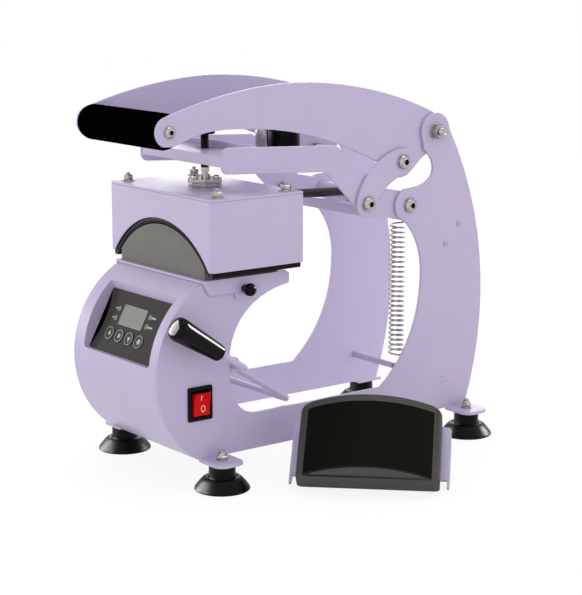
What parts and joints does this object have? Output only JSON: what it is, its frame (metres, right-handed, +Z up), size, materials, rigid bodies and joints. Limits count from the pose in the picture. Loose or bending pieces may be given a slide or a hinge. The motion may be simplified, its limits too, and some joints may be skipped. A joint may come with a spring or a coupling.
{
  "type": "cap heat press",
  "caption": "Benchtop cap heat press with a curved platen under a heated head, a front drum with controls, a toggle handle on a bent-plate frame, and a loose spare platen.",
  "frame": {"origin": "on the table, midway between the centres of the four suction feet", "axes": "+X to the side with the power switch and the hold-down lever, +Y from the drum to the back, +Z up; the press is closed"},
  "size_m": [0.3238, 0.3837, 0.3545],
  "materials": {
    "lilac_powder": "satin powder coat",
    "black_plastic": "moulded, fine grain",
    "gloss_black": "glossy moulding",
    "black_rubber": "matt rubber",
    "black_foam": "closed-cell foam sleeve",
    "bright_steel": "bright plated steel",
    "panel_glass": "glossy dark fascia",
    "display_film": "blank grey display and clear light lenses",
    "key_black": "soft key caps",
    "board_green": "circuit board",
    "rocker_red": "translucent red rocker",
    "grey_silicone": "grey silicone sheet",
    "black_silicone": "black silicone sheet",
    "dark_block": "dark coated cast block",
    "heater_metal": "dark coated cast aluminium",
    "element_copper": "heating element foil",
    "insulation": "fibre insulation board",
    "black_sleeve": "heat-proof lead sleeve"
  },
  "bodies": {
    "frame": {"side_plate_near": "lilac_powder", "side_plate_far": "lilac_powder", "drum_shell": "lilac_powder", "drum_rear_panel": "lilac_powder", "power_inlet": "black_plastic", "control_panel": "panel_glass", "display_lights": "display_film", "control_board": "board_green", "switch_body": "black_plastic", "main_pivot_bolts": "bright_steel", "arm_pivot_screws": "bright_steel", "tie_rod": "lilac_powder", "return_spring": "bright_steel", "limit_switch": "black_plastic", "suction_feet": "black_rubber", "frame_fasteners": "bright_steel"},
    "handle": {"handle_arm_near": "lilac_powder", "handle_arm_far": "lilac_powder", "handle_grip": "black_foam", "handle_rod": "bright_steel", "handle_screws": "bright_steel"},
    "links": {"link_near": "lilac_powder", "link_far": "lilac_powder", "link_screws": "bright_steel"},
    "press_arm": {"press_arm_near": "lilac_powder", "press_arm_far": "lilac_powder", "arm_front_plate": "lilac_powder", "arm_rear_plate": "lilac_powder", "arm_cross_bar": "lilac_powder", "arm_axle_tube": "lilac_powder", "spring_lever": "lilac_powder", "stop_post": "bright_steel", "stop_buffer": "black_rubber", "link_bosses": "bright_steel", "heater_lead": "black_sleeve"},
    "head": {"head_cover": "lilac_powder", "head_top_plate": "lilac_powder", "heater_block": "heater_metal", "heating_element": "element_copper", "insulation_pad": "insulation", "head_fasteners": "bright_steel", "swivel_collar": "bright_steel"},
    "spindle": {"pressure_spindle": "bright_steel", "pressure_knob": "black_plastic"},
    "platen": {"platen_bracket": "lilac_powder", "platen_block": "dark_block", "platen_pad": "grey_silicone", "platen_screws": "bright_steel"},
    "lock_knob": {"lock_knob": "black_plastic"},
    "rocker": {"switch_rocker": "rocker_red"},
    "key_1": {"key_1": "key_black"},
    "key_2": {"key_2": "key_black"},
    "key_3": {"key_3": "key_black"},
    "key_4": {"key_4": "key_black"},
    "hold_down": {"bail_rod": "lilac_powder", "bail_grip": "gloss_black"},
    "limit_lever": {"limit_switch_lever": "bright_steel"},
    "spare": {"spare_bracket": "lilac_powder", "spare_block": "dark_block", "spare_pad": "black_silicone"}
  },
  "joints": [
    {"name": "handle_pivot", "type": "hinge", "parent": "frame", "child": "handle", "pos_m": [0, 0.112, 0.3013], "axis": [1, 0, 0], "range_deg": [-50, 0]},
    {"name": "link_pivot", "type": "hinge", "parent": "handle", "child": "links", "pos_m": [0, 0.0712, 0.2749], "axis": [1, 0, 0], "range_deg": [0, 72.7]},
    {"name": "press_arm_pivot", "type": "hinge", "parent": "frame", "child": "press_arm", "pos_m": [0, 0.0798, 0.233], "axis": [1, 0, 0], "range_deg": [-33.4, 0], "deforming": ["return_spring"]},
    {"name": "head_slide", "type": "slide", "parent": "press_arm", "child": "head", "axis": [0, 0, 1], "range_m": [0, 0.005]},
    {"name": "spindle_turn", "type": "hinge", "parent": "head", "child": "spindle", "pos_m": [0, -0.1071, 0.28], "axis": [0, 0, 1], "range_deg": [0, 1440]},
    {"name": "platen_slide", "type": "slide", "parent": "frame", "child": "platen", "axis": [0, -1, 0], "range_m": [0, 0.05]},
    {"name": "lock_knob_turn", "type": "hinge", "parent": "frame", "child": "lock_knob", "pos_m": [0.08, -0.1147, 0.176], "axis": [1, 0, 0], "range_deg": [0, 360]},
    {"name": "rocker_tilt", "type": "hinge", "parent": "frame", "child": "rocker", "pos_m": [0.0685, -0.1632, 0.0783], "axis": [0, 1, 0], "range_deg": [-14, 0]},
    {"name": "key_1_press", "type": "slide", "parent": "frame", "child": "key_1", "axis": [0, 0.8821, -0.471], "range_m": [0, 0.0004], "stiffness_N_per_m": 300},
    {"name": "key_2_press", "type": "slide", "parent": "frame", "child": "key_2", "axis": [0, 0.8821, -0.471], "range_m": [0, 0.0004], "stiffness_N_per_m": 300},
    {"name": "key_3_press", "type": "slide", "parent": "frame", "child": "key_3", "axis": [0, 0.8821, -0.471], "range_m": [0, 0.0004], "stiffness_N_per_m": 300},
    {"name": "key_4_press", "type": "slide", "parent": "frame", "child": "key_4", "axis": [0, 0.8821, -0.471], "range_m": [0, 0.0004], "stiffness_N_per_m": 300},
    {"name": "hold_down_pivot", "type": "hinge", "parent": "frame", "child": "hold_down", "pos_m": [0, -0.1242, 0.1065], "axis": [1, 0, 0], "range_deg": [0, 70]},
    {"name": "limit_lever_press", "type": "hinge", "parent": "frame", "child": "limit_lever", "pos_m": [0.064, 0.13657, 0.21545], "axis": [1, 0, 0], "range_deg": [0, 8], "stiffness_Nm_per_rad": 0.02},
    {"name": "spare_lift", "type": "slide", "parent": "frame", "child": "spare", "axis": [0, 0, 1], "range_m": [0, 0.1]}
  ],
  "couplings": [
    {"joint": "press_arm_pivot", "follows": "handle_pivot", "ratio": 0.6663},
    {"joint": "link_pivot", "follows": "handle_pivot", "ratio": -1.4521},
    {"joint": "spindle_turn", "follows": "head_slide", "rad_per_m": 5026.5}
  ]
}
